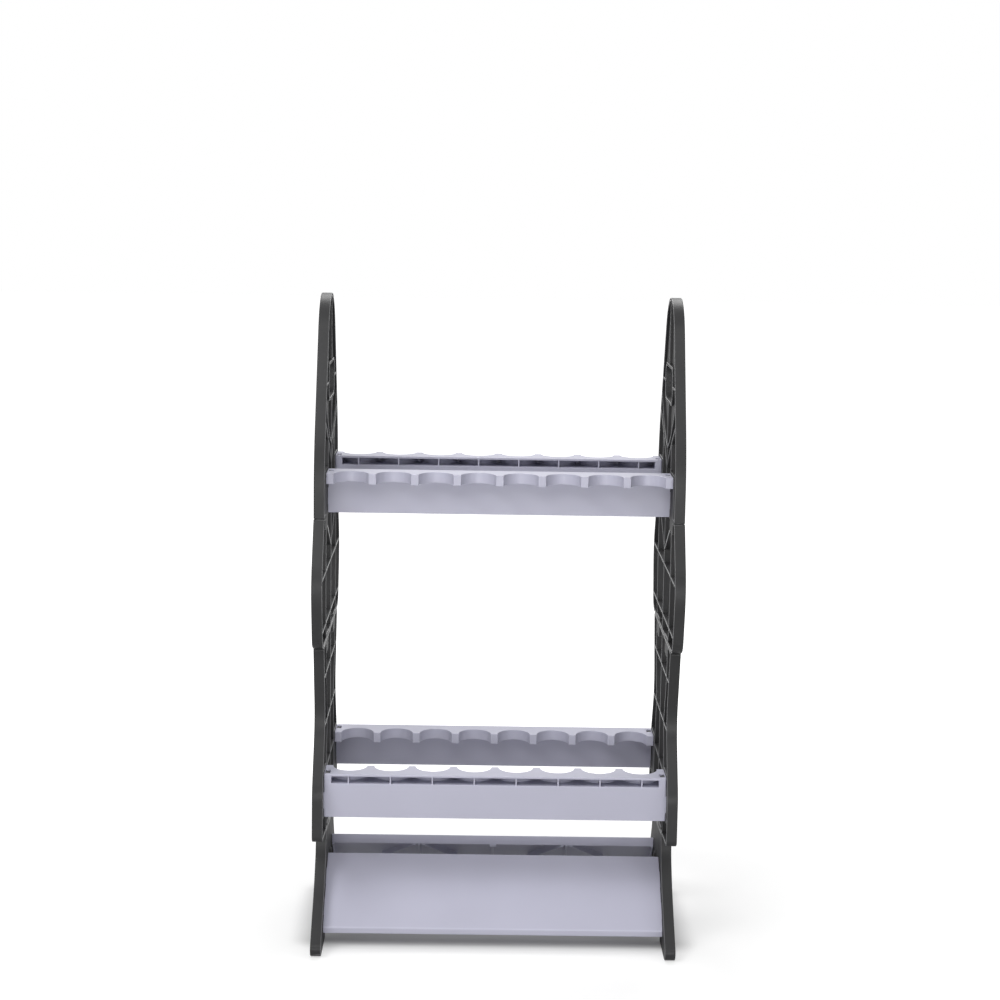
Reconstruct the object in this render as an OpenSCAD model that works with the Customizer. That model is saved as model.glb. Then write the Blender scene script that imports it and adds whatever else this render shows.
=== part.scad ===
// Free-standing rod rack: four notched rails and two sloping butt plates
// between two lattice side panels, each panel snapped together from four pieces.
// Millimetres. X runs along the rails, -Y is the front and +Z is up.
// The origin is on the floor, under the middle of the rack.

/* [Rails] */
// Spacing of the rod notches along a rail
notch_pitch = 45; // [42:1:52]
// Number of rod notches in each rail
notch_count = 8; // [4:1:10]
// Depth of a notch, from the tips of the posts
notch_depth = 21; // [17:0.5:22]
// Width of a post's flat tip
post_tip = 8; // [6:0.5:11]
// Depth of a rail, from its wall to the tips of its posts
rail_depth = 37.7; // [35:0.1:40]
// Height of a rail's wall
rail_height = 47.3; // [42:0.1:50]
// Height of the skirt along the notched edge
skirt_height = 11.7; // [10:0.1:16]
// Thickness of the shelf that closes a rail's head from below
shelf = 1.7; // [1.4:0.1:3]
// Thickness of the rails and of the base plates
moulding = 2.5; // [2:0.1:3]
// Thickness of the ribs that divide the windows
divider = 1.6; // [1.4:0.1:3]

/* [Layout] */
// Height of the upper rails' top faces
upper_rail_top = 516.4; // [514:0.1:530]
// Distance from the middle plane to the upper rails' walls
upper_wall_y = 54.8; // [48:0.1:58]
// Height of the lower rails' top faces
lower_rail_top = 193.2; // [182:0.1:196]
// Distance from the middle plane to the lower rails' walls
lower_wall_y = 108.9; // [104:0.1:109]

/* [Base plates] */
// Distance from the middle plane to a plate's upper edge
plate_y = 35.5; // [30:0.1:38]
// Height of a plate's upper edge
plate_z = 83.3; // [80:0.1:86]
// Slope of a plate
plate_slope = 39.6; // [38:0.1:41]
// Width of a plate along its slope
plate_width = 95.2; // [88:0.1:98]
// Height of the turned-down flange at a plate's upper edge
plate_flange = 11; // [7:0.5:14]
// Depth of the ribs under a plate
plate_rib = 7; // [4:0.5:9]

/* [Side panels] */
// Height of the rack
rack_height = 701.6; // [690:0.1:720]
// Thickness of a side panel along X
panel_t = 11.6; // [11:0.1:16]
// Thickness of the rim around each piece
rim = 3; // [2.4:0.1:3.6]
// Thickness of the lattice ribs
rib = 2.4; // [1.8:0.1:3]
// Thickness of the webs
web = 3; // [2.4:0.1:4]
// Radius of the arch's crown
crown_radius = 57; // [50:1:62]
// Half width of the arch at its foot
arch_half = 112; // [110:0.5:116]
// Height where the arch's flanks begin, at the corner before rounding
knee_z = 533.7; // [528:0.1:540]
// Height of the seam between the arch and the middle piece
arch_seam = 470; // [466:0.5:473]
// Half width of the middle piece at its bulge, at the corner before rounding
bulge_half = 148.2; // [140:0.1:156]
// Height of the bulge
bulge_z = 404.8; // [398:0.1:412]
// Height of the seam between the middle and the lower piece
neck_seam = 332; // [328:0.5:338]
// Half width of the middle piece at its lower end
skirt_half = 129.5; // [126:0.1:134]
// Half width of the lower piece at its upper end
neck_half = 109; // [104:0.5:114]
// Half width at the waist, at the corner before rounding
waist_half = 84.6; // [80:0.1:90]
// Height of the waist
waist_z = 246.2; // [240:0.1:252]
// Half width of the lower piece at its hips
hip_half = 122.5; // [119:0.1:126]
// Height where the hips begin
hip_z = 176; // [172:0.5:180]
// Height of the seam between the lower piece and the foot frame
foot_seam = 112; // [110:0.5:116]
// Half width of the foot frame on the floor, at the corner before rounding
foot_half = 157; // [148:0.1:158]
// Half width of the space between the feet on the floor
stride_half = 77; // [70:0.5:82]
// Half width of the hand hole
grip_half = 42; // [36:0.5:46]
// Distance from the crown down to the hand hole
grip_drop = 75.6; // [70:0.1:80]
// Height of the hand hole
grip_height = 36; // [30:0.5:40]

/* [Fits] */
// Clearance between two pieces that are pushed together
fit = 0.2; // [0.1:0.05:0.3]
// Height of the tenons between the pieces of a panel
tenon_h = 12; // [8:0.5:14]
// Thickness of the tenons
tenon_t = 6; // [4:0.2:7]

/* [Hidden] */
arc_step = 6;
eps = 0.01;

// Rails
rail_end = 3.8;
rail_half = notch_count * notch_pitch / 2 + rail_end;
end_block = 8;
window_end = rail_half - end_block;
end_wall = 1.6;
end_round = 1.5;
notch_reach = (notch_pitch - post_tip) / 2;
notch_step = 7.5;
window_height = skirt_height - moulding - shelf;
pip_r = 1;
pip_h = 0.5;

// Snap tabs of the panels and their slots in the rails
snap_y = 6.5;
snap_w = 12;
slot_len = 5.4;
slot_x = window_end + end_wall;
tab_reach = end_block - end_wall - fit;
tab_t = 3.4;
// Tongues of the rails' walls and their slots in the panels
wall_tongue_h = 18;
wall_tongue_z = -rail_height + 9;
hook_len = slot_len - 1;

// Panels
panel_in = rail_half + fit;
rib_recess = 1.2;
// The flanks run from the knees and touch the crown's circle
crown_z = rack_height - crown_radius;
flank_angle = atan2(arch_half, crown_z - knee_z) - asin(crown_radius / norm([arch_half, crown_z - knee_z]));
apex_z = crown_z + crown_radius / sin(flank_angle);
knee_round = 160;
grip_z = rack_height - grip_drop - grip_height;
v_drop = 52;
v_step = 22;
hip_drop = 9;
foot_top_half = 60;
foot_top_z = foot_seam + hip_drop * foot_top_half / hip_half;
ankle_z = 96;
shin_half = 84;
shin_z = 62.5;
shin_round = 120;
crotch_z = 80;
crotch_half = 34;
foot_rung_z = [foot_seam - 24, foot_seam - 52, foot_seam - 80];
arch_tenon_y = 74;
neck_tenon_y = 55;
foot_tenon_y = 34;
tenon_w = 24;
boss_wall = 3;

// Base plates
tongue_w = 20;
tongue_u = [plate_width * 0.2, plate_width * 0.62];
tongue_len = web + fit + 1.6;
plate_lip = 6.7;
plate_rib_x = rail_half * 0.459;
plate_rib_run = 43;

// Outline helpers
function unit(v) = v / norm(v);
function cross_z(a, b) = a[0] * b[1] - a[1] * b[0];
function at(v, i) = let(p = v[(i + len(v)) % len(v)]) [p[0], p[1]];
// A half outline on the +Y side, completed by its mirror image
function both_halves(h) = concat(
    h,
    [for (i = [len(h) - 1:-1:0]) if (h[i][0] > eps) [-h[i][0], h[i][1], h[i][2]]]
);
// The outline moved inwards by t, with its corner radii changed to match
function inset_outline(v, t) = [
    for (i = [0:len(v) - 1])
        let(
            b = at(v, i),
            d1 = unit(b - at(v, i - 1)),
            d2 = unit(at(v, i + 1) - b),
            n1 = [-d1[1], d1[0]],
            n2 = [-d2[1], d2[0]],
            p = b + t * (n1 + n2) / (1 + n1 * n2),
            r = v[i][2] + (cross_z(d1, d2) > 0 ? -t : t)
        )
        [p[0], p[1], max(r, 0)]
];
// Points of an arc of n steps
function arc_points(m, r, start, sweep) =
    let(n = max(1, ceil(abs(sweep) / arc_step)))
    [for (j = [0:n]) m + r * [cos(start + sweep * j / n), sin(start + sweep * j / n)]];
// The outline with every corner rounded to its own radius
function rounded(v) = [
    for (i = [0:len(v) - 1])
        let(
            b = at(v, i),
            r = v[i][2],
            u1 = unit(at(v, i - 1) - b),
            u2 = unit(at(v, i + 1) - b),
            half = acos(u1 * u2) / 2,
            m = b + unit(u1 + u2) * r / sin(half),
            p1 = b + u1 * r / tan(half),
            p2 = b + u2 * r / tan(half),
            a1 = atan2(p1[1] - m[1], p1[0] - m[0]),
            d = atan2(p2[1] - m[1], p2[0] - m[0]) - a1,
            sweep = d > 180 ? d - 360 : (d < -180 ? d + 360 : d)
        )
        each (r < 0.3 ? [b] : arc_points(m, r, a1, sweep))
];
// Points of a curve from p to q that leaves and arrives towards c
function curve(p, c, q, n) = [
    for (j = [0:n])
        let(t = j / n)
        (1 - t) * (1 - t) * p + 2 * t * (1 - t) * c + t * t * q
];

// Outlines of the panel pieces: half width, height and corner radius
arch_shape = both_halves([
    [arch_half, arch_seam + fit, 1],
    [arch_half, knee_z, knee_round],
    [0, apex_z, crown_radius]
]);
middle_shape = both_halves([
    [skirt_half, neck_seam + fit, 20],
    [bulge_half, bulge_z, 65],
    [arch_half + 1, arch_seam, 1]
]);
lower_shape = both_halves([
    [0, foot_seam + fit, 0],
    [hip_half, foot_seam + hip_drop, 7],
    [hip_half, hip_z, 40],
    [waist_half, waist_z, 56],
    [neck_half, neck_seam, 4]
]);
foot_shape = both_halves([
    [0, crotch_z, 24],
    [crotch_half, crotch_z - 14, 20],
    [stride_half, 0, 3],
    [foot_half, 0, 8],
    [shin_half, shin_z, shin_round],
    [foot_top_half, ankle_z, 50],
    [foot_top_half, foot_top_z, 1.5],
    [0, foot_seam, 0]
]);
grip_shape = both_halves([
    [grip_half, grip_z, 12],
    [grip_half, grip_z + grip_height, 12]
]);

// Stations of the lattice, as points of half width and height
strut_y = 78;
v_tip_z = grip_z - v_drop;
v_curve = curve(
    [0, v_tip_z],
    [arch_half * 0.465, v_tip_z + v_drop * 0.27],
    [arch_half * 0.82, v_tip_z + v_drop * 1.21],
    8
);
w_tip_z = v_tip_z - v_step;
w_curve = curve(
    [0, w_tip_z],
    [arch_half * 0.357, w_tip_z + v_drop * 0.56],
    [arch_half * 0.93, w_tip_z + v_drop * 1.15],
    8
);
rung_z = [408, 351];
brace_z = 425;
middle_strut = [
    [strut_y, arch_seam - 2], [strut_y + 4, rung_z[0]],
    [strut_y, rung_z[1]], [strut_y - 6, neck_seam + 1]
];
low_rung_z = [295, 240, 186, 148];
lower_strut = [
    [strut_y - 6, neck_seam - 1], [70, low_rung_z[0]], [48, low_rung_z[1]],
    [64, low_rung_z[2]], [64, foot_seam + 5]
];

// Placement helpers
// Turns a drawing in Y and Z into a plate on the panel's inner face, thick towards +X
module on_panel(from = 0) {
    translate([panel_in + from, 0, 0]) rotate([90, 0, 90]) children();
}
module on_side(side) {
    mirror([side < 0 ? 1 : 0, 0, 0]) children();
}
module front_and_rear() {
    children();
    mirror([0, 1, 0]) children();
}
module twin() {
    children();
    mirror([1, 0]) children();
}
// Puts a rail's own frame in place: its wall at y = 0, its tips towards +y, its top at z = 0
module rail_frame(wall_y, toward, top) {
    translate([0, wall_y, top]) mirror([0, toward < 0 ? 1 : 0, 0]) children();
}

// Rail
// The notches are half ellipses; t moves the edge into the rail at an even distance
function notch_curve(x, t) = [
    for (a = [180:-notch_step:0])
        let(
            n = unit([notch_depth * cos(a), notch_reach * sin(a)]),
            p = [notch_reach * cos(a) + t * n[0], notch_depth * sin(a) + t * n[1]]
        )
        if (p[1] > t + eps) [x + p[0], rail_depth - p[1]]
];
function notched_edge(t) = [
    for (i = [0:notch_count - 1])
        let(x = (i - (notch_count - 1) / 2) * notch_pitch)
        each concat(
            [[x - notch_reach - t, rail_depth - t]],
            notch_curve(x, t),
            [[x + notch_reach + t, rail_depth - t]]
        )
];
// Plan of a rail, from the wall's outer face to the tips
module rail_plan() {
    polygon(concat(
        arc_points([end_round - rail_half, end_round], end_round, -90, -90),
        [[-rail_half, rail_depth]],
        notched_edge(0),
        [[rail_half, rail_depth]],
        arc_points([rail_half - end_round, end_round], end_round, 0, -90)
    ));
}
// Plan of the space inside the head, open at both ends
module head_space() {
    polygon(concat(
        [[-rail_half - 1, moulding], [-rail_half - 1, rail_depth - moulding]],
        notched_edge(moulding),
        [[rail_half + 1, rail_depth - moulding], [rail_half + 1, moulding]]
    ));
}
module wall_tongue(grow) {
    translate([-rail_half - web - fit, -grow, wall_tongue_z - grow])
        cube([2 * (rail_half + web + fit), moulding + 2 * grow, wall_tongue_h + 2 * grow]);
}
module rail() {
    difference() {
        union() {
            // Head: a closed box along the notched edge
            difference() {
                translate([0, 0, -skirt_height]) linear_extrude(skirt_height) rail_plan();
                translate([0, 0, shelf - skirt_height]) linear_extrude(window_height) head_space();
            }
            // Wall
            translate([0, 0, -rail_height]) linear_extrude(rail_height) intersection() {
                rail_plan();
                square([3 * rail_half, 2 * moulding], center = true);
            }
            wall_tongue(0);
            // Mould pips on the post tips
            for (x = [-2, 0, 2])
                translate([x * notch_pitch, rail_depth - 1, -skirt_height / 2])
                    rotate([-90, 0, 0]) cylinder(h = 1 + pip_h, r = pip_r, $fn = 24);
        }
        // Windows, from the first end wall to the last
        translate([-window_end, -1, -moulding - window_height])
            cube([2 * window_end, moulding + 2, window_height]);
        // Slots for the panels' snap hooks
        for (s = [-1, 1])
            translate([s * (slot_x + slot_len / 2) - slot_len / 2, snap_y - fit, -moulding - 1])
                cube([slot_len, snap_w + 2 * fit, moulding + 2]);
    }
    // Ends of the row of windows
    for (s = [-1, 1])
        translate([s * (window_end + end_wall / 2) - end_wall / 2, 0, -moulding - window_height - shelf / 2])
            cube([end_wall, rail_depth - moulding / 2, window_height + shelf / 2 + moulding / 2]);
    // Ribs from the wall to the notches, which divide the windows
    for (i = [0:notch_count - 1])
        translate([
            (i - (notch_count - 1) / 2) * notch_pitch - divider / 2, 0, -moulding - window_height - shelf / 2
        ])
            cube([divider, rail_depth - notch_depth - moulding / 2, window_height + shelf / 2 + moulding / 2]);
}
// The tab on a panel that holds one end of a rail, with its snap hook
module rail_tab() {
    translate([panel_in - tab_reach, snap_y, -moulding - fit - tab_t])
        cube([tab_reach + 1, snap_w, tab_t]);
    translate([slot_x + 0.5, snap_y + snap_w, -moulding - fit - eps])
        rotate([90, 0, 0])
            linear_extrude(snap_w)
                polygon([[0, 0], [hook_len, 0], [hook_len, moulding - 0.4], [0.8, 0.4]]);
}
module rail_pad(wall_y, toward, top) {
    on_panel() linear_extrude(web)
        translate([wall_y + (toward < 0 ? -rail_depth : 0) - 2, top - rail_height - 2])
            square([rail_depth + 4, rail_height + 4]);
}

// Base plate, drawn at the rear; y0 and z0 are on its upper edge
module plate_frame() {
    translate([0, plate_y, plate_z]) rotate([-plate_slope, 0, 0]) children();
}
module plate_tongues(grow) {
    plate_frame()
        for (u = tongue_u)
            translate([rail_half - 1, u - grow, -moulding - grow])
                cube([tongue_len + 1 + 2 * grow, tongue_w + 2 * grow, moulding + 2 * grow]);
}
module base_plate() {
    half = rail_half;
    run = plate_width * cos(plate_slope);
    drop = plate_width * sin(plate_slope);
    difference() {
        union() {
            // Sheet, its turned-down flange and its outer lip
            translate([-half, 0, 0]) rotate([90, 0, 90]) linear_extrude(2 * half) {
                polygon([
                    [plate_y, plate_z], [plate_y, plate_z - plate_flange],
                    [plate_y + moulding, plate_z - plate_flange],
                    [plate_y + moulding, plate_z - moulding / cos(plate_slope) - moulding * tan(plate_slope)],
                    [plate_y + run - moulding, plate_z - drop - moulding / cos(plate_slope) + moulding * tan(plate_slope)],
                    [plate_y + run - moulding, plate_z - drop - plate_lip],
                    [plate_y + run - 0.6, plate_z - drop - plate_lip],
                    [plate_y + run, plate_z - drop - plate_lip + 0.6],
                    [plate_y + run, plate_z - drop - 0.9],
                    [plate_y + run - 0.3, plate_z - drop - 0.1],
                    [plate_y + run - 0.9, plate_z - drop + 0.9 * tan(plate_slope)]
                ]);
            }
            for (s = [0, 1]) mirror([s, 0, 0]) plate_tongues(0);
            // Ribs under the sheet: three along the slope, and splayed ones beside the outer two
            plate_frame()
                translate([0, 0, -moulding - plate_rib]) linear_extrude(plate_rib + moulding / 2) {
                    for (x = [-plate_rib_x, 0, plate_rib_x])
                        translate([x - 1, 2]) square([2, plate_rib_run]);
                    for (s = [-1, 1], turn = [-1, 1])
                        strut([s * plate_rib_x, 3], [s * plate_rib_x + turn * plate_rib_run, 3 + plate_rib_run], 1.8);
                    // Lips at the two ends
                    for (s = [-1, 1])
                        translate([s * (half - 1) - 1, 2]) square([2, plate_width - 4]);
                }
            // Tab in the middle of the flange
            translate([-3.7, plate_y, plate_z - plate_flange - 2.6]) cube([7.4, moulding, 4]);
        }
        // The ribs end at the flange's outer face
        translate([-half - 1, plate_y - 40, plate_z - 60]) cube([2 * half + 2, 40, 80]);
    }
}

// Lattice ribs, drawn in Y and Z
module strut(p, q, w) {
    d = unit(q - p) * w / 3;
    n = [-d[1], d[0]] * 1.5;
    polygon([p - d + n, p - d - n, q + d - n, q + d + n]);
}
module struts(points, w) {
    for (i = [0:len(points) - 2]) strut(points[i], points[i + 1], w);
}
// A rib across a piece, which is clipped to its rim
module rung(half, z) {
    translate([-half, z - rib / 2]) square([2 * half, rib]);
}
module rim_of(shape) {
    on_panel() linear_extrude(panel_t) difference() {
        polygon(rounded(shape));
        polygon(rounded(inset_outline(shape, rim)));
    }
}
module lattice_of(shape) {
    on_panel() linear_extrude(panel_t - rib_recess) intersection() {
        polygon(rounded(inset_outline(shape, rim / 2)));
        union() children();
    }
}
// Solid block that a tenon grows from, above a seam
module tenon_root(y, seam) {
    translate([y - tenon_w / 2 - boss_wall, seam]) square([tenon_w + 2 * boss_wall, 6]);
}
module tenon(y, seam) {
    on_panel((panel_t - tenon_t) / 2) linear_extrude(tenon_t)
        translate([y - tenon_w / 2, seam - tenon_h]) square([tenon_w, tenon_h + 4]);
}
// Solid block around a tenon's socket, below a seam
module socket_block(y, seam) {
    translate([y - tenon_w / 2 - boss_wall, seam - tenon_h - boss_wall])
        square([tenon_w + 2 * boss_wall, tenon_h + boss_wall]);
}
module socket(y, seam) {
    on_panel((panel_t - tenon_t) / 2 - fit) linear_extrude(tenon_t + 2 * fit)
        translate([y - tenon_w / 2 - fit, seam - tenon_h - fit])
            square([tenon_w + 2 * fit, tenon_h + 8]);
}

module arch_piece() {
    difference() {
        union() {
            rim_of(arch_shape);
            lattice_of(arch_shape) {
                translate([-rib / 2, arch_seam]) square([rib, grip_z - arch_seam]);
                translate([-rib / 2, grip_z + grip_height]) square([rib, rack_height - grip_z - grip_height - 1]);
                polygon(rounded(inset_outline(grip_shape, -rim)));
                twin() struts(v_curve, rib);
                twin() struts(w_curve, rib);
                twin() tenon_root(arch_tenon_y, arch_seam + fit);
                // Rungs beside the hand hole
                rung(arch_half, grip_z + grip_height / 2);
                twin() strut([upper_wall_y - 4, arch_seam], [upper_wall_y - 4, w_tip_z + v_drop * 0.63], rib);
            }
            // Web around the hand hole, down to the upper V
            on_panel(3.2) linear_extrude(web - 0.4) intersection() {
                polygon(rounded(inset_outline(arch_shape, rim / 2)));
                polygon(concat(
                    v_curve,
                    [[2 * arch_half, rack_height], [-2 * arch_half, rack_height]],
                    [for (i = [len(v_curve) - 1:-1:1]) [-v_curve[i][0], v_curve[i][1]]]
                ));
            }
            intersection() {
                front_and_rear() rail_pad(upper_wall_y, 1, upper_rail_top);
                on_panel() linear_extrude(panel_t) polygon(rounded(inset_outline(arch_shape, rim / 2)));
            }
        }
        // Hand hole
        on_panel(-1) linear_extrude(panel_t + 2) polygon(rounded(grip_shape));
        front_and_rear() rail_frame(upper_wall_y, 1, upper_rail_top) wall_tongue(fit);
    }
    for (s = [-1, 1]) tenon(s * arch_tenon_y, arch_seam + fit);
    front_and_rear() rail_frame(upper_wall_y, 1, upper_rail_top) rail_tab();
}

module middle_piece() {
    difference() {
        union() {
            rim_of(middle_shape);
            lattice_of(middle_shape) {
                translate([-rib / 2, neck_seam]) square([rib, arch_seam - neck_seam]);
                twin() struts(middle_strut, rib);
                for (z = rung_z) rung(bulge_half, z);
                twin() strut([strut_y, arch_seam - 4], [0, brace_z], rib);
                twin() socket_block(arch_tenon_y, arch_seam);
                twin() tenon_root(neck_tenon_y, neck_seam + fit);
            }
        }
        for (s = [-1, 1]) socket(s * arch_tenon_y, arch_seam);
    }
    for (s = [-1, 1]) tenon(s * neck_tenon_y, neck_seam + fit);
}

module lower_piece() {
    difference() {
        union() {
            rim_of(lower_shape);
            lattice_of(lower_shape) {
                translate([-rib / 2, foot_seam]) square([rib, neck_seam - foot_seam]);
                twin() struts(lower_strut, rib);
                for (z = low_rung_z) rung(hip_half, z);
                twin() socket_block(neck_tenon_y, neck_seam);
                twin() tenon_root(foot_tenon_y, foot_seam + 4);
            }
            intersection() {
                front_and_rear() rail_pad(lower_wall_y, -1, lower_rail_top);
                on_panel() linear_extrude(panel_t) polygon(rounded(inset_outline(lower_shape, rim / 2)));
            }
        }
        for (s = [-1, 1]) socket(s * neck_tenon_y, neck_seam);
        front_and_rear() rail_frame(lower_wall_y, -1, lower_rail_top) wall_tongue(fit);
    }
    for (s = [-1, 1]) tenon(s * foot_tenon_y, foot_seam + 3);
    front_and_rear() rail_frame(lower_wall_y, -1, lower_rail_top) rail_tab();
}

module foot_piece() {
    difference() {
        union() {
            rim_of(foot_shape);
            // Web on the inner face
            on_panel() linear_extrude(web) polygon(rounded(inset_outline(foot_shape, rim / 2)));
            lattice_of(foot_shape) {
                twin() socket_block(foot_tenon_y, foot_seam + 3);
                translate([-rib / 2, crotch_z - 2]) square([rib, foot_seam - crotch_z]);
                twin() strut([crotch_half - 4, foot_rung_z[0]], [(stride_half + foot_half) / 2, rim], rib);
                for (z = foot_rung_z) translate([-foot_half, z]) square([2 * foot_half, rib]);
            }
        }
        for (s = [-1, 1]) socket(s * foot_tenon_y, foot_seam + 3);
        front_and_rear() plate_tongues(fit);
    }
}

// Named parts
module left_arch() { color([0.16, 0.16, 0.17]) on_side(-1) arch_piece(); }
module right_arch() { color([0.16, 0.16, 0.17]) on_side(1) arch_piece(); }
module left_middle() { color([0.16, 0.16, 0.17]) on_side(-1) middle_piece(); }
module right_middle() { color([0.16, 0.16, 0.17]) on_side(1) middle_piece(); }
module left_lower() { color([0.16, 0.16, 0.17]) on_side(-1) lower_piece(); }
module right_lower() { color([0.16, 0.16, 0.17]) on_side(1) lower_piece(); }
module left_foot() { color([0.16, 0.16, 0.17]) on_side(-1) foot_piece(); }
module right_foot() { color([0.16, 0.16, 0.17]) on_side(1) foot_piece(); }
module front_upper_rail() { color([0.72, 0.71, 0.78]) rail_frame(-upper_wall_y, -1, upper_rail_top) rail(); }
module rear_upper_rail() { color([0.72, 0.71, 0.78]) rail_frame(upper_wall_y, 1, upper_rail_top) rail(); }
module front_lower_rail() { color([0.72, 0.71, 0.78]) rail_frame(-lower_wall_y, 1, lower_rail_top) rail(); }
module rear_lower_rail() { color([0.72, 0.71, 0.78]) rail_frame(lower_wall_y, -1, lower_rail_top) rail(); }
module front_base_plate() { color([0.72, 0.71, 0.78]) mirror([0, 1, 0]) base_plate(); }
module rear_base_plate() { color([0.72, 0.71, 0.78]) base_plate(); }

left_arch();
right_arch();
left_middle();
right_middle();
left_lower();
right_lower();
left_foot();
right_foot();
front_upper_rail();
rear_upper_rail();
front_lower_rail();
rear_lower_rail();
front_base_plate();
rear_base_plate();
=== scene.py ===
# Studio scene for the rod rack: camera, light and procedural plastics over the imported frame
import math

import bmesh
import bpy
from mathutils import Matrix, Vector
from mathutils.geometry import delaunay_2d_cdt


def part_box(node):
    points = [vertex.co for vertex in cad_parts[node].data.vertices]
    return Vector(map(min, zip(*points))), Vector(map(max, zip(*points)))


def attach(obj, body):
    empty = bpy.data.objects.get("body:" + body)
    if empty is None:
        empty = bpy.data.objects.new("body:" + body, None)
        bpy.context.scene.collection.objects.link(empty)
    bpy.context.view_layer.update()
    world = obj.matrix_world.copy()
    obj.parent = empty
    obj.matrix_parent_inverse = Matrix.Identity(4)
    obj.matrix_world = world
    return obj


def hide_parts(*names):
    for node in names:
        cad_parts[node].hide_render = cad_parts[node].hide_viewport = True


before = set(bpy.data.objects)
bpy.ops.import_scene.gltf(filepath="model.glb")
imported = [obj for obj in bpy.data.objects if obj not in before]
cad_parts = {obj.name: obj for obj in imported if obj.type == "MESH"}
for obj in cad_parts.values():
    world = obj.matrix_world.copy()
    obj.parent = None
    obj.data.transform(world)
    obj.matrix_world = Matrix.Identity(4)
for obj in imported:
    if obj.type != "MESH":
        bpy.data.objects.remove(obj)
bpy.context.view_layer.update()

# Camera as fitted to the photograph, in metres and radians, with its lens in millimetres
CAMERA_AT = Vector((-0.0258, -2.4127, 0.8366))
YAW = 0.01131
PITCH = 0.14810
ROLL = 0.01603
LENS = 79.709
SENSOR_WIDTH = 36.0
CLIP_END = 50.0

# Largest radius of the moulded edges, and the two smaller ones, in metres
RIM_EDGE = 0.0012
RAIL_EDGE = 0.0006
RIB_EDGE = 0.0005

# The two plastics by their slots, each with the pieces moulded from it.
# spread is the swing of its tone. Etched faces point sideways, drawn ones don't.
# edge_highlight_gain lifts the tone of rounded edges as a painted highlight, and edge_rough is the
# smoother roughness of these rubbed edges.
# rim_edge is the radius of edges on the outer face of a side panel, other_edge that of all others.
# Corners closer than merge, in metres, become one after the rounding.
PLASTICS = {
    "grey_plastic": {
        "nodes": [
            "front_upper_rail", "rear_upper_rail", "front_lower_rail", "rear_lower_rail",
            "front_base_plate", "rear_base_plate",
        ],
        "color": (0.474, 0.472, 0.575),
        "spread": 0.02,
        "etched_rough": 0.42,
        "drawn_rough": 0.42,
        "specular": 0.5,
        "grain": 0.25,
        "edge_highlight_gain": 1.08,
        "edge_rough": 0.32,
        "rim_edge": RAIL_EDGE,
        "other_edge": RAIL_EDGE,
        "merge": 0.00018,
    },
    "black_plastic": {
        "nodes": [
            "left_arch", "right_arch", "left_middle", "right_middle",
            "left_lower", "right_lower", "left_foot", "right_foot",
        ],
        "color": (0.031, 0.031, 0.032),
        "spread": 0.10,
        "etched_rough": 0.62,
        "drawn_rough": 0.38,
        "specular": 0.2,
        "grain": 0.45,
        "edge_highlight_gain": 5.0,
        "edge_rough": 0.14,
        "rim_edge": RIM_EDGE,
        "other_edge": RIB_EDGE,
        "merge": 0.00008,
    },
}
PLASTIC_IOR = 1.5

# Patterns in both plastics: scales per metre, and the part of each noise's range that is used
CLOUD_SCALE = 9.0
CLOUD_DETAIL = 3.0
CLOUD_RANGE = (0.35, 0.65)
HAZE_SCALE = 38.0
HAZE_DETAIL = 4.0
HAZE_RANGE = (0.3, 0.7)
HAZE_SWING = 0.05
PORE_SCALE = 1500.0
PORE_DEPTH = 0.00004

# The sideways part of a face's normal, from the drawn finish to the etched one
ETCHED_LEAN = (0.5, 0.9)

# Edges nearer than this to the outer faces of the panels get neither the smoother roughness nor the
# painted highlight, in metres
POLISH_AND_HIGHLIGHT_MARGIN = 0.003

# Corners nearer than this to the outer faces of the panels lie on them, in metres
ON_FACE = 1e-5

# An outer edge sharper than a crease is rounded, and faces within the flat angle become one
CREASE = math.radians(32.0)
FLAT = math.radians(0.4)

# Rounding: the share of a narrow face that a radius may take, and the steps around an edge
ROOM_SHARE = 0.3
EDGE_SEGMENTS = 3

# Corners that are one and edges that vanish before the rounding, in metres
WELD = 2e-6
SHORT_EDGE = 0.00015

# After the rounding, edges vanish below this share of the merging distance
SHORT_SHARE = 0.1

# A face with more corners than this is split into triangles, with points this far apart told apart
MOST_CORNERS = 4
POINT_GAP = 1e-7

# The triangulation's mode that keeps triangles inside the outline only
INSIDE_ONLY = 1

# Faces around a corner share its shading where they turn less than 50 degrees from one another.
# A face belongs to a rounded edge, and gets the mark, where its shading leans more than 8 degrees.
SAME_BEND = math.cos(math.radians(50.0))
EDGE_LEAN = math.cos(math.radians(8.0))
EDGE_MARK = "rounded"

# Lamps: name, place, point that it faces, size, power in watts
LAMPS = [
    ("rear_softbox", (0.0, 1.6, 2.3), (0.0, 0.0, 0.4), (2.2, 1.2), 34.0),
    ("top_left_softbox", (-1.4, -1.3, 2.3), (0.0, 0.0, 0.35), (1.2, 1.2), 29.0),
    ("top_front_softbox", (0.0, -1.9, 2.3), (0.0, 0.0, 0.35), (2.0, 1.4), 15.0),
    ("low_front_softbox", (0.0, -3.0, 0.45), (0.0, 0.0, 0.3), (1.4, 0.7), 21.0),
    ("right_softbox", (2.4, -1.6, 1.5), (0.0, 0.0, 0.35), (1.2, 1.6), 7.0),
]

# Surroundings: the light that they give, and the white that shows
WHITE = (1.0, 1.0, 1.0, 1.0)
WORLD_LEVEL = 0.27
SEEN_LEVEL = 1.0

# Floor: its colour, its half side, and half the size of the rectangle of painted shade between the feet
FLOOR_COLOR = (0.55, 0.55, 0.55, 1.0)
FLOOR_REACH = 12.0
FLOOR_SHADE = (0.185, 0.080, 0.0)

# The floor's own light grows twice with the distance from that rectangle.
# Each time: distance at its start and its end in metres, level before and after.
FLOOR_FADES = [
    (0.0, 0.045, 0.02, 0.52),
    (0.05, 0.90, 0.0, 0.48),
]

# Distance of the panels' outer faces from the middle of the rack
frame_outer = max(abs(corner.x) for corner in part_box("right_arch"))


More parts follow.
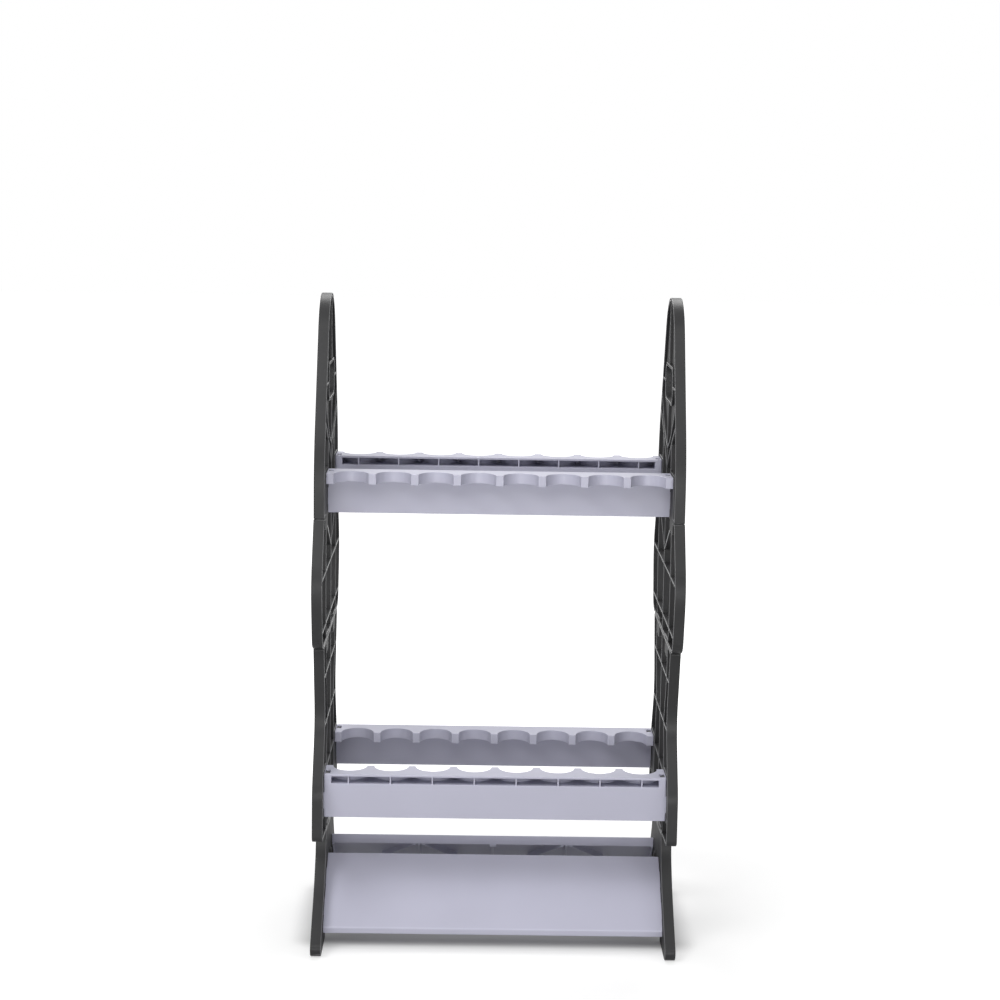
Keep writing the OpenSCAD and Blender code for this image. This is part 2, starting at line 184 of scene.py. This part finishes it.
def make_camera():
    """Places the camera where the photograph was taken from."""
    forward = Vector((
        math.sin(YAW) * math.cos(PITCH),
        math.cos(YAW) * math.cos(PITCH),
        -math.sin(PITCH),
    ))
    level = Vector((math.cos(YAW), -math.sin(YAW), 0.0))
    upright = level.cross(forward)
    right = level * math.cos(ROLL) + upright * math.sin(ROLL)
    up = upright * math.cos(ROLL) - level * math.sin(ROLL)
    data = bpy.data.cameras.new("photo_camera")
    data.sensor_fit = "HORIZONTAL"
    data.sensor_width = SENSOR_WIDTH
    data.lens = LENS
    data.clip_end = CLIP_END
    camera = bpy.data.objects.new("photo_camera", data)
    turn = Matrix((right, up, -forward)).transposed().to_4x4()
    camera.matrix_world = Matrix.Translation(CAMERA_AT) @ turn
    bpy.context.scene.collection.objects.link(camera)
    bpy.context.scene.camera = camera


def softbox(name, at, target, size, power):
    """A rectangular area lamp that faces a point."""
    data = bpy.data.lights.new(name, "AREA")
    data.shape = "RECTANGLE"
    data.size = size[0]
    data.size_y = size[1]
    data.energy = power
    lamp = bpy.data.objects.new(name, data)
    lamp.location = at
    lamp.rotation_euler = (Vector(target) - Vector(at)).to_track_quat("-Z", "Y").to_euler()
    bpy.context.scene.collection.objects.link(lamp)


def fill(tree, node, inputs):
    """Sets the inputs of a shader node: a socket is linked, anything else is a value."""
    for key, value in inputs.items():
        if isinstance(value, bpy.types.NodeSocket):
            tree.links.new(value, node.inputs[key])
        else:
            node.inputs[key].default_value = value


def add_node(tree, kind, inputs, **settings):
    """A new shader node with its settings and inputs."""
    node = tree.nodes.new(kind)
    for name, value in settings.items():
        setattr(node, name, value)
    fill(tree, node, inputs)
    return node


def calculated(tree, operation, *values):
    """The result of a math node on one or two values."""
    node = add_node(tree, "ShaderNodeMath", dict(enumerate(values)), operation=operation)
    return node.outputs["Value"]


def vector_calculated(tree, operation, *values):
    """The result of a vector math node on one or two vectors."""
    node = add_node(tree, "ShaderNodeVectorMath", dict(enumerate(values)), operation=operation)
    return node.outputs["Vector"]


def scaled(tree, vector, factor):
    """A vector or a colour times a factor."""
    node = add_node(tree, "ShaderNodeVectorMath", {0: vector, "Scale": factor}, operation="SCALE")
    return node.outputs["Vector"]


def ranged(tree, value, source, target, blend="LINEAR"):
    """The value's place in one range, carried over to another and kept inside it."""
    inputs = {
        "Value": value,
        "From Min": source[0],
        "From Max": source[1],
        "To Min": target[0],
        "To Max": target[1],
    }
    node = add_node(tree, "ShaderNodeMapRange", inputs, interpolation_type=blend)
    return node.outputs["Result"]


def seen_directly(tree):
    """1 for rays that show the background: straight, mirrored or through glass."""
    path = tree.nodes.new("ShaderNodeLightPath")
    seen = path.outputs["Is Camera Ray"]
    for name in ("Is Glossy Ray", "Is Transmission Ray"):
        seen = calculated(tree, "MAXIMUM", seen, path.outputs[name])
    return seen


def make_world():
    """Even studio light, with a white background where it is seen."""
    world = bpy.data.worlds.new("studio")
    bpy.context.scene.world = world
    world.use_nodes = True
    tree = world.node_tree
    tree.nodes.clear()
    light = add_node(tree, "ShaderNodeBackground", {"Color": WHITE, "Strength": WORLD_LEVEL})
    shown = add_node(tree, "ShaderNodeBackground", {"Color": WHITE, "Strength": SEEN_LEVEL})
    choice = {"Fac": seen_directly(tree), 1: light.outputs["Background"], 2: shown.outputs["Background"]}
    mix = add_node(tree, "ShaderNodeMixShader", choice)
    add_node(tree, "ShaderNodeOutputWorld", {"Surface": mix.outputs["Shader"]})


def floor_light(tree):
    """The floor's own light: almost none between the feet, a painted shade that keeps the floor dark
    there, more beside them, white far away.
    """
    place = tree.nodes.new("ShaderNodeTexCoord")
    either_side = vector_calculated(tree, "ABSOLUTE", place.outputs["Object"])
    beyond = vector_calculated(tree, "SUBTRACT", either_side, FLOOR_SHADE)
    outside = vector_calculated(tree, "MAXIMUM", beyond, (0.0, 0.0, 0.0))
    distance = add_node(tree, "ShaderNodeVectorMath", {0: outside}, operation="LENGTH")
    near, far = [
        ranged(tree, distance.outputs["Value"], (start, end), (before, after), "SMOOTHSTEP")
        for start, end, before, after in FLOOR_FADES
    ]
    level = calculated(tree, "ADD", near, far)
    return calculated(tree, "MULTIPLY", seen_directly(tree), level)


def make_floor():
    """A pale floor that keeps the lamps' shadow under the rack, deepened by painted shade between the
    feet, and is white around it.
    """
    material = bpy.data.materials.new("pale_floor")
    material.use_nodes = True
    tree = material.node_tree
    tree.nodes.clear()
    diffuse = add_node(tree, "ShaderNodeBsdfDiffuse", {"Color": FLOOR_COLOR})
    glow = add_node(tree, "ShaderNodeEmission", {"Color": WHITE, "Strength": floor_light(tree)})
    both = {0: diffuse.outputs["BSDF"], 1: glow.outputs["Emission"]}
    surface = add_node(tree, "ShaderNodeAddShader", both)
    add_node(tree, "ShaderNodeOutputMaterial", {"Surface": surface.outputs["Shader"]})
    sides = [(-1, -1), (1, -1), (1, 1), (-1, 1)]
    mesh = bpy.data.meshes.new("floor")
    mesh.from_pydata([(x * FLOOR_REACH, y * FLOOR_REACH, 0.0) for x, y in sides], [], [(0, 1, 2, 3)])
    mesh.materials.append(material)
    floor = bpy.data.objects.new("floor", mesh)
    bpy.context.scene.collection.objects.link(floor)


def polished_highlighted_edges(tree, place):
    """1 on the rounded edges, all but those of the outer faces: rubbed smoother by hands and rods, and
    given a painted highlight.
    """
    strip = add_node(
        tree, "ShaderNodeAttribute", {}, attribute_type="GEOMETRY", attribute_name=EDGE_MARK
    )
    across = add_node(tree, "ShaderNodeSeparateXYZ", {"Vector": place})
    aside = calculated(tree, "ABSOLUTE", across.outputs["X"])
    inner = calculated(tree, "LESS_THAN", aside, frame_outer - POLISH_AND_HIGHLIGHT_MARGIN)
    return calculated(tree, "MULTIPLY", strip.outputs["Fac"], inner)


def plastic(name, look):
    """Moulded plastic: faint clouds of colour, a fine grain, and rounded edges that are smoother and
    carry a painted highlight.
    """
    material = bpy.data.materials.new(name)
    material.use_nodes = True
    tree = material.node_tree
    place = tree.nodes.new("ShaderNodeTexCoord").outputs["Object"]
    polish_and_highlight = polished_highlighted_edges(tree, place)

    # Large, faint clouds of colour, as left by the flow of the moulding
    cloud_inputs = {"Scale": CLOUD_SCALE, "Detail": CLOUD_DETAIL, "Vector": place}
    clouds = add_node(tree, "ShaderNodeTexNoise", cloud_inputs)
    tones = (1.0 - look["spread"], 1.0 + look["spread"])
    tone = ranged(tree, clouds.outputs["Fac"], CLOUD_RANGE, tones)
    # Painted highlight: the tone of the rounded edges is raised, standing in for glints of light along
    # them
    gain = ranged(tree, polish_and_highlight, (0.0, 1.0), (1.0, look["edge_highlight_gain"]))
    color = scaled(tree, scaled(tree, look["color"], tone), gain)

    # The broad faces of a side panel are etched, the walls drawn along the mould's opening are smoother
    shape = tree.nodes.new("ShaderNodeNewGeometry")
    facing = add_node(tree, "ShaderNodeSeparateXYZ", {"Vector": shape.outputs["Normal"]})
    sideways = calculated(tree, "ABSOLUTE", facing.outputs["X"])
    finish = ranged(tree, sideways, ETCHED_LEAN, (look["drawn_rough"], look["etched_rough"]))

    # The roughness varies a little, and rubbed edges have their own
    haze_inputs = {"Scale": HAZE_SCALE, "Detail": HAZE_DETAIL, "Vector": place}
    haze = add_node(tree, "ShaderNodeTexNoise", haze_inputs)
    swing = ranged(tree, haze.outputs["Fac"], HAZE_RANGE, (-HAZE_SWING, HAZE_SWING))
    surface = calculated(tree, "ADD", swing, finish)
    rough = ranged(tree, polish_and_highlight, (0.0, 1.0), (surface, look["edge_rough"]))

    # Fine grain of the mould's surface
    pores = add_node(tree, "ShaderNodeTexVoronoi", {"Scale": PORE_SCALE, "Vector": place})
    grain = {"Strength": look["grain"], "Distance": PORE_DEPTH, "Height": pores.outputs["Distance"]}
    bump = add_node(tree, "ShaderNodeBump", grain)

    fill(tree, tree.nodes["Principled BSDF"], {
        "Base Color": color,
        "Roughness": rough,
        "Normal": bump.outputs["Normal"],
        "IOR": PLASTIC_IOR,
        "Specular IOR Level": look["specular"],
    })
    return material


def room(edge):
    """The extent of the narrower of the two faces beside an edge, measured square to it."""
    start = edge.verts[0].co
    along = (edge.verts[1].co - start).normalized()
    extents = []
    for face in edge.link_faces:
        offsets = [vert.co - start for vert in face.verts]
        extents.append(max((offset - along * offset.dot(along)).length for offset in offsets))
    return min(extents)


def edge_radius(edge, look):
    """The radius of an edge as moulded, less where a face beside it is narrow."""
    on_rim = all(abs(frame_outer - abs(vert.co.x)) < ON_FACE for vert in edge.verts)
    wanted = look["rim_edge"] if on_rim else look["other_edge"]
    return min(wanted, room(edge) * ROOM_SHARE)


def welded(name, look):
    """A node's mesh with whole flat faces, and the radii of its outer creases as bevel weights."""
    bm = bmesh.new()
    bm.from_mesh(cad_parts[name].data)
    bmesh.ops.remove_doubles(bm, verts=bm.verts[:], dist=WELD)
    bmesh.ops.dissolve_degenerate(bm, edges=bm.edges[:], dist=SHORT_EDGE)
    bmesh.ops.dissolve_limit(bm, angle_limit=FLAT, verts=bm.verts[:], edges=bm.edges[:])
    weight = bm.edges.layers.float.new("bevel_weight_edge")
    for edge in bm.edges:
        if len(edge.link_faces) == 2 and edge.calc_face_angle_signed(0.0) > CREASE:
            edge[weight] = edge_radius(edge, look) / RIM_EDGE
    mesh = bpy.data.meshes.new(name + "_welded")
    bm.to_mesh(mesh)
    bm.free()
    return mesh


def rounded_off(mesh):
    """A copy of the mesh with its creases rounded by their weights."""
    holder = bpy.data.objects.new("rounding", mesh)
    bpy.context.scene.collection.objects.link(holder)
    bevel = holder.modifiers.new("edges", "BEVEL")
    bevel.limit_method = "WEIGHT"
    bevel.width = RIM_EDGE
    bevel.segments = EDGE_SEGMENTS
    bevel.use_clamp_overlap = False
    bevel.miter_outer = "MITER_ARC"
    ready = holder.evaluated_get(bpy.context.evaluated_depsgraph_get())
    result = bpy.data.meshes.new_from_object(ready)
    bpy.data.objects.remove(holder)
    return result


def split_flat(bm, face):
    """Replaces a face of many corners by triangles that keep its outline."""
    normal = face.normal.copy()
    along = (face.loops[0].vert.co - face.calc_center_median()).cross(normal).normalized()
    across = normal.cross(along)
    verts = list(face.verts)
    height = sum(vert.co.dot(normal) for vert in verts) / len(verts)
    points = [Vector((vert.co.dot(along), vert.co.dot(across))) for vert in verts]
    outline = list(range(len(verts)))
    found = delaunay_2d_cdt(points, [], [outline], INSIDE_ONLY, POINT_GAP)
    places, _, triangles, origins, _, _ = found
    corners = []
    for place, origin in zip(places, origins):
        if origin:
            corners.append(verts[origin[0]])
        else:
            corners.append(bm.verts.new(along * place.x + across * place.y + normal * height))
    made = 0
    for triangle in triangles:
        chosen = [corners[i] for i in triangle]
        if len(set(chosen)) == 3 and bm.faces.get(chosen) is None:
            bm.faces.new(chosen)
            made += 1
    if made:
        bm.faces.remove(face)


def close_gaps(bm):
    """Fills what the splitting left open, with triangles between corners that are there."""
    edges = [edge for edge in bm.edges if len(edge.link_faces) == 1]
    made = bmesh.ops.holes_fill(bm, edges=edges, sides=0)["faces"]
    bmesh.ops.triangulate(bm, faces=made)


def corner_normal(face, around):
    """The shading normal at a face's corner: the mean by area of the faces that bend on from it."""
    total = Vector((0.0, 0.0, 0.0))
    for normal, area in around:
        if face.normal.dot(normal) > SAME_BEND:
            total = total + normal * area
    return total.normalized() if total.length > 0.0 else face.normal.copy()


def moulded(name, material, look):
    """Stands for a CAD node: the same shape with its edges rounded as in a mould."""
    mesh = rounded_off(welded(name, look))
    bm = bmesh.new()
    bm.from_mesh(mesh)
    bmesh.ops.remove_doubles(bm, verts=bm.verts[:], dist=look["merge"])
    bmesh.ops.dissolve_degenerate(bm, edges=bm.edges[:], dist=look["merge"] * SHORT_SHARE)
    bm.normal_update()

    # The shading follows the faces as they are before the large ones are split
    whole = {}
    for vert in bm.verts:
        whole[vert] = [(face.normal.copy(), face.calc_area()) for face in vert.link_faces]
    for face in [face for face in bm.faces if len(face.verts) > MOST_CORNERS]:
        split_flat(bm, face)
    close_gaps(bm)

    # Every corner of every face gets its own normal, and faces of rounded edges get their mark
    mark = bm.faces.layers.float.new(EDGE_MARK)
    normals = []
    for face in bm.faces:
        face.smooth = True
        face.normal_update()
        corners = [corner_normal(face, whole.get(vert, [])) for vert in face.verts]
        lean = min(face.normal.dot(normal) for normal in corners)
        face[mark] = 1.0 if lean < EDGE_LEAN else 0.0
        normals.extend(corners)
    bm.to_mesh(mesh)
    bm.free()
    mesh.normals_split_custom_set(normals)
    mesh.materials.clear()
    mesh.materials.append(material)
    piece = bpy.data.objects.new(name + "_moulded", mesh)
    bpy.context.scene.collection.objects.link(piece)
    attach(piece, "root")
    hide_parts(name)


make_camera()
make_world()
make_floor()
for lamp in LAMPS:
    softbox(*lamp)
for slot, look in PLASTICS.items():
    material = plastic(slot + "_look", look)
    for name in look["nodes"]:
        moulded(name, material, look)

bpy.context.scene.view_settings.view_transform = "Standard"
